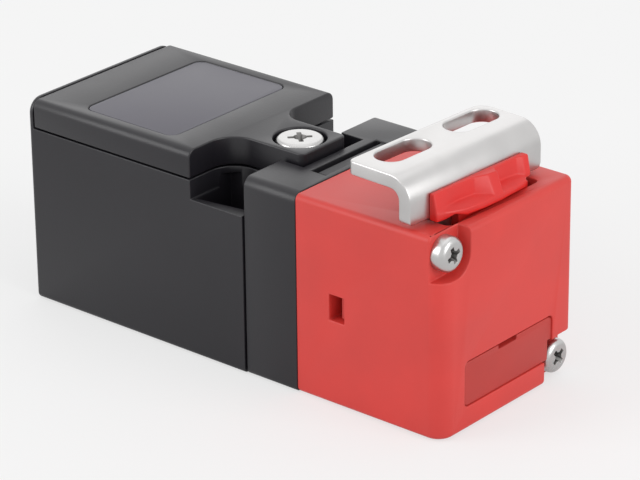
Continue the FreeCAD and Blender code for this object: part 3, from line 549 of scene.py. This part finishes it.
head = block("head_shell", 12.5, head_front, -14.7, 14.7, 0.0, 29.9)
round_edges(head, 2.6, 10, "z", lambda middle: middle.x > head_front - 0.1 and middle.y < 0.0)
round_edges(head, 1.3, 8, "z", lambda middle: middle.x > head_front - 0.1 and middle.y > 0.0)
round_edges(
    head, 0.9, 8, "level",
    lambda middle: middle.x > 12.6 and (middle.z > 29.8 or middle.z < 0.1),
)
work(head, "DIFFERENCE", block("chamber", 12.0, 35.4, -10.0, 10.0, 2.6, 27.3))
top_entry = block("top_entry", 28.5, 35.4, -10.0, 10.0, 26.0, 31.0)
round_edges(top_entry, 0.9, 5, "z")
work(head, "DIFFERENCE", top_entry)
end_entry = block("end_entry", 34.0, 39.0, -9.6, 10.2, 3.5, 10.35)
round_edges(end_entry, 0.9, 5, "x")
work(head, "DIFFERENCE", end_entry)
for side, (screw_y, screw_z) in zip((-1.0, 1.0), head_screw_places):
    inner_y, inner_z = screw_y - 3.45 * side, screw_z + 3.6 * side
    notch = block(
        "screw_notch", screw_seat_x, 39.0,
        *span(inner_y, screw_y + screw_room * side), *span(inner_z, screw_z - screw_room * side),
    )
    round_edges(
        notch, 3.1, 10, "x",
        lambda middle: abs(middle.y - inner_y) < 0.1 and abs(middle.z - inner_z) < 0.1,
    )
    work(head, "DIFFERENCE", notch)
    work(head, "DIFFERENCE", bar("screw_way", screw_way_radius, 12.0, 37.0, "x", screw_y, screw_z, 32))
    work(head, "DIFFERENCE", block("window", 18.35, 21.0, *span(9.0 * side, 16.0 * side), 12.8, 16.7))
break_edges(head, 0.18)
dress(head, "switch", "head_housing", red_plastic)


# ---------------------------------------------------------------- head screws
# Two zinc-plated pan-head screws lie on one diagonal of the end face and run through the head into
# the collar. One is modelled and copied before each is turned to its place.
upper_screw = pan_screw("upper_screw", 2.5, 2.1, 0.9, 1.4, 28.4)
lower_screw = upper_screw.copy()
lower_screw.data = upper_screw.data.copy()
lower_screw.name = "lower_screw"
bpy.context.scene.collection.objects.link(lower_screw)
for head_screw, node, (screw_y, screw_z), turn in (
    (upper_screw, "head_screw_upper", head_screw_places[0], 20.0),
    (lower_screw, "head_screw_lower", head_screw_places[1], 40.0),
):
    seat(head_screw, 0.0, 0.0, turn, 0.0, 0.0, 0.0)
    seat(head_screw, 0.0, 90.0, 0.0, screw_seat_x, screw_y, screw_z)
    dress(head_screw, "switch", node)


# ---------------------------------------------------------------- entry plug
# A red moulded plug closes the unused end entry. A notch in its top edge takes a screwdriver, and
# one end of it is cut away beside the lower screw.
red_plug = moulded_plastic("red_plug", (0.50, 0.040, 0.032), (0.62, 0.09, 0.08), 0.48)
plug = block("plug_shell", 33.95, 37.8, -9.5, 10.1, 3.6, 10.1)
round_edges(plug, 0.8, 5, "x")
work(plug, "DIFFERENCE", block("pry_notch", 36.4, 39.0, -1.9, 2.2, 9.45, 11.0))
work(plug, "DIFFERENCE", block("screw_room", 35.6, 39.0, 9.3, 12.0, 0.0, 6.6))
break_edges(plug, 0.15)
dress(plug, "switch", "slot_plug", red_plug)


# ---------------------------------------------------------------- steel tongue
# The tongue is stamped from 2 mm stainless sheet, bent once and barrel-polished, so its rims are
# softly rolled over. Its plate has two slots for its fixing screws. It stands a little askew.
bracket_steel = plated_steel("bracket_steel", (0.60, 0.59, 0.585), 0.32, 160.0)
sheet_back, sheet_front = 31.5, 33.5
plate_under, plate_top = 35.3, 37.3
plate_rear = 22.5
near_end, far_end = -14.9, 12.5
slot_half_length = 4.7
tongue_yaw = -2.5
leg_x, leg_set_back = 32.5, 0.2


def turn_with_tongue(piece):
    """Turns a piece of the tongue about the middle of its leg, and sets it back a little."""
    yaw = math.radians(tongue_yaw)
    x, y = leg_x - leg_set_back - leg_x * math.cos(yaw), -leg_x * math.sin(yaw)
    seat(piece, 0.0, 0.0, tongue_yaw, x, y, 0.0)


bracket = block("tongue_plate", plate_rear, sheet_front, near_end, far_end, plate_under, plate_top)
work(bracket, "UNION", block("leg", sheet_back, sheet_front, near_end, far_end, 30.6, 36.5))
clean_faces(bracket)
round_edges(
    bracket, 1.5, 8, "y",
    lambda middle: abs(middle.z - plate_under) < 0.1 and middle.x > sheet_back - 0.5,
)
round_edges(
    bracket, 3.5, 14, "y",
    lambda middle: middle.z > plate_top - 0.1 and middle.x > sheet_front - 0.5,
)
round_edges(bracket, 2.2, 8, "z", lambda middle: middle.x < plate_rear + 0.1 and middle.y > 0.0)
round_edges(bracket, 0.9, 6, "z", lambda middle: middle.x < plate_rear + 0.1 and middle.y < 0.0)
round_edges(bracket, 0.9, 6, "x", lambda middle: middle.z < 30.7)
strip = block("tongue_strip", sheet_back, sheet_front, -9.4, 9.4, 2.9, 32.0)
round_edges(strip, 1.5, 6, "x", lambda middle: middle.z < 3.0)
window = block("tongue_window", 30.0, 35.0, -4.2, 4.2, 5.5, 27.0)
round_edges(window, 0.8, 5, "x")
work(strip, "DIFFERENCE", window)
work(bracket, "UNION", strip)
for slot_y in (-7.35, 6.75):
    fixing_slot = block(
        "fixing_slot", 23.45, 27.95, slot_y - slot_half_length, slot_y + slot_half_length, 34.0, 39.0,
    )
    round_edges(fixing_slot, 2.24, 12, "z")
    work(bracket, "DIFFERENCE", fixing_slot)
break_edges(bracket, 0.22, 40.0)
turn_with_tongue(bracket)
dress(bracket, "tongue", "actuator_bracket", bracket_steel)


# ---------------------------------------------------------------- guide block
# A bright red moulding keyed through the tongue's window. Two finger scoops leave a boss between
# them, an arch lifts its foot near one end, a hook ends the other, and its keel runs in the entry.
red_guide = moulded_plastic(
    "red_guide", (0.74, 0.020, 0.016), (0.85, 0.08, 0.06), 0.36, grain=0.0003, depth=0.00001,
)
guide_front = 34.2
guide_top, scoop_floor, lip_top, guide_foot = 34.3, 31.9, 31.4, 30.4
guide_stations = (
    # place along the guide, then how far top, scoop floor and lip stand out, and the foot's lift
    (-11.0, 0.1, 0.6, 0.7, 0.0),
    (-9.4, 0.1, 0.4, 0.9, 0.0),
    (-8.0, 0.1, 0.2, 1.4, 0.5),
    (-6.2, 0.1, 0.0, 2.0, 0.0),
    (-3.0, 0.2, 0.3, 2.3, 0.0),
    (-0.9, 0.9, 2.0, 2.3, 0.0),
    (0.9, 1.1, 2.1, 2.3, 0.0),
    (1.5, 0.0, 0.0, 2.2, 0.0),
    (4.0, 0.0, 0.0, 2.0, 0.0),
    (6.2, 0.0, 0.4, 1.8, 0.0),
    (7.0, 0.3, 1.0, 1.1, 0.9),
    (8.2, 0.5, 1.0, 1.0, 0.95),
)
guide = block(
    "guide_shell", sheet_front, guide_front, guide_stations[0][0], guide_stations[-1][0],
    guide_foot, guide_top,
)
hold(guide)
bpy.ops.object.mode_set(mode="EDIT")
for station in guide_stations[1:-1]:
    bpy.ops.mesh.select_all(action="SELECT")
    bpy.ops.mesh.bisect(plane_co=(0.0, station[0] * 0.001, 0.0), plane_no=(0.0, 1.0, 0.0))
for level in (lip_top, scoop_floor):
    bpy.ops.mesh.select_all(action="SELECT")
    bpy.ops.mesh.bisect(plane_co=(0.0, 0.0, level * 0.001), plane_no=(0.0, 0.0, 1.0))
bpy.ops.object.mode_set(mode="OBJECT")
for station_y, top_out, scoop_out, lip_out, lift in guide_stations:
    for level, out, up in (
        (guide_top, top_out, 0.0),
        (scoop_floor, scoop_out, 0.0),
        (lip_top, lip_out, 0.0),
        (guide_foot, lip_out, lift),
    ):
        pick(
            guide, "VERT",
            lambda vert: abs(vert.co.y * 1000.0 - station_y) < 0.05
            and abs(vert.co.z * 1000.0 - level) < 0.05
            and vert.co.x * 1000.0 > guide_front - 0.1,
        )
        bpy.ops.transform.translate(value=(out * 0.001, 0.0, up * 0.001))
        bpy.ops.object.mode_set(mode="OBJECT")
break_edges(guide, 0.22, 22.0)
keel_front = block("keel_front", 33.45, 34.9, -6.5, 8.0, 25.3, 30.6)
break_edges(keel_front, 0.2)
keel_rear = block("keel_rear", 29.3, sheet_back, -9.5, 9.5, 25.3, 30.3)
break_edges(keel_rear, 0.3)
key = block("key", 31.2, 33.8, -4.1, 4.1, 25.3, 26.0)
break_edges(key, 0.1)
hold(guide)
for part in (keel_front, keel_rear, key):
    part.select_set(True)
bpy.ops.object.join()
turn_with_tongue(guide)
dress(guide, "tongue", "guide_block", red_guide)


# ---------------------------------------------------------------- cam and its carrier
# The carrier is a red inner frame whose noses show in the side windows. It holds a steel axle with
# a pale acetal cam that the tongue turns.
red_carrier = moulded_plastic("red_carrier", (0.55, 0.035, 0.028), (0.65, 0.08, 0.07), 0.46)
finish_node("cam_carrier", red_carrier)
pin_steel = plated_steel("pin_steel", (0.66, 0.65, 0.64), 0.28)
finish_node("cam_axle", pin_steel)
cam_plastic = moulded_plastic("cam_acetal", (0.62, 0.60, 0.55), (0.70, 0.68, 0.62), 0.40)
finish_node("cam_rotor", cam_plastic)


# ---------------------------------------------------------------- plunger
# An acetal plunger runs from the cam through collar and body into the contact slider. A steel coil
# spring presses it back, and a rubber ring seals it.
finish_node("plunger", cam_plastic)
finish_node("plunger_spring", pin_steel)
finish_node("plunger_seal", seal_rubber)


# ---------------------------------------------------------------- contact block
# A black two-piece block in the body guides a slider with two contact bridges. Plated screws clamp
# the wires on the four fixed contacts.
block_plastic = moulded_plastic("block_plastic", (0.030, 0.030, 0.032), (0.06, 0.06, 0.06), 0.45)
for name in ("contact_block_base", "contact_block_cap", "contact_slider"):
    finish_node(name, block_plastic)
contact_metal = plated_steel("contact_brass", (0.72, 0.55, 0.30), 0.30)
for name in ("contact_bridge_opening", "contact_bridge_closing"):
    finish_node(name, contact_metal)
for place in ("near", "far"):
    finish_node("fixed_contact_opening_" + place, contact_metal)
    finish_node("fixed_contact_closing_" + place, contact_metal)
    finish_node("terminal_screw_front_" + place, screw_steel)
    finish_node("terminal_screw_rear_" + place, screw_steel)
